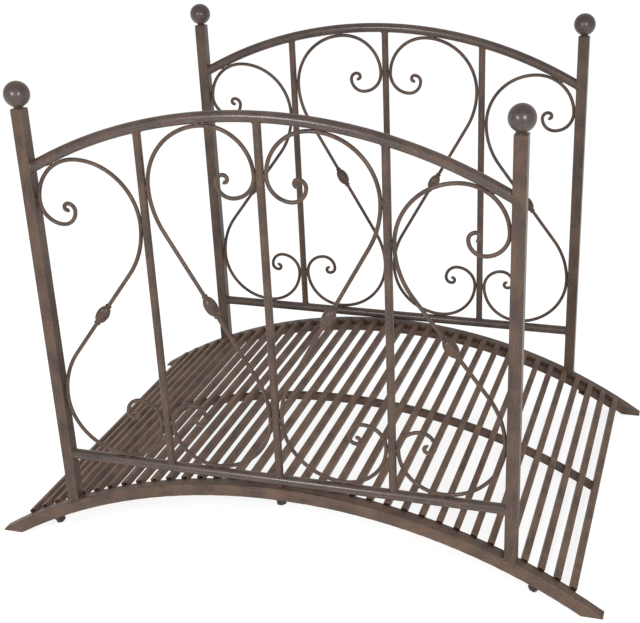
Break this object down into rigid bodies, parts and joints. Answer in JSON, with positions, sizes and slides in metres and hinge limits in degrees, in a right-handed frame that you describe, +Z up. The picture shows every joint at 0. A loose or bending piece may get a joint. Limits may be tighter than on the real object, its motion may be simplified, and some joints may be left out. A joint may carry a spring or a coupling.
{
  "type": "arched metal garden bridge",
  "caption": "Arched steel garden footbridge with slatted deck, square posts with ball finials, arched round handrails and S-scroll railings.",
  "frame": {"origin": "floor level under mid-span, half-way between the two railings", "axes": "+X along the bridge, +Y across it from the front railing to the back one, +Z up"},
  "size_m": [1.336, 0.915, 1.0205],
  "materials": {
    "frame_steel": "satin dark bronze-brown patina paint on welded steel tube",
    "scroll_steel": "satin dark bronze-brown patina paint on bent steel rod",
    "deck_steel": "satin dark bronze-brown patina paint on square steel tube"
  },
  "bodies": {
    "root": {"side_beam_front": "frame_steel", "side_beam_back": "frame_steel", "post_left_front": "frame_steel", "finial_left_front": "frame_steel", "post_right_front": "frame_steel", "finial_right_front": "frame_steel", "post_left_back": "frame_steel", "finial_left_back": "frame_steel", "post_right_back": "frame_steel", "finial_right_back": "frame_steel", "top_rail_front": "frame_steel", "bottom_rail_front": "frame_steel", "rail_spacer_front": "frame_steel", "baluster_left_front": "frame_steel", "baluster_middle_front": "frame_steel", "baluster_right_front": "frame_steel", "scroll_outer_left_front": "scroll_steel", "scroll_outer_right_front": "scroll_steel", "scroll_inner_left_front": "scroll_steel", "scroll_inner_right_front": "scroll_steel", "top_rail_back": "frame_steel", "bottom_rail_back": "frame_steel", "rail_spacer_back": "frame_steel", "baluster_left_back": "frame_steel", "baluster_middle_back": "frame_steel", "baluster_right_back": "frame_steel", "scroll_outer_left_back": "scroll_steel", "scroll_outer_right_back": "scroll_steel", "scroll_inner_left_back": "scroll_steel", "scroll_inner_right_back": "scroll_steel", "deck_bar_front": "deck_steel", "deck_bar_middle": "deck_steel", "deck_bar_back": "deck_steel", "deck_slats_1": "deck_steel", "deck_slats_2": "deck_steel", "deck_slats_3": "deck_steel", "deck_slats_4": "deck_steel", "deck_slats_5": "deck_steel", "deck_slats_6": "deck_steel", "deck_slats_7": "deck_steel", "deck_tabs_front": "deck_steel", "deck_tabs_back": "deck_steel"}
  },
  "joints": []
}
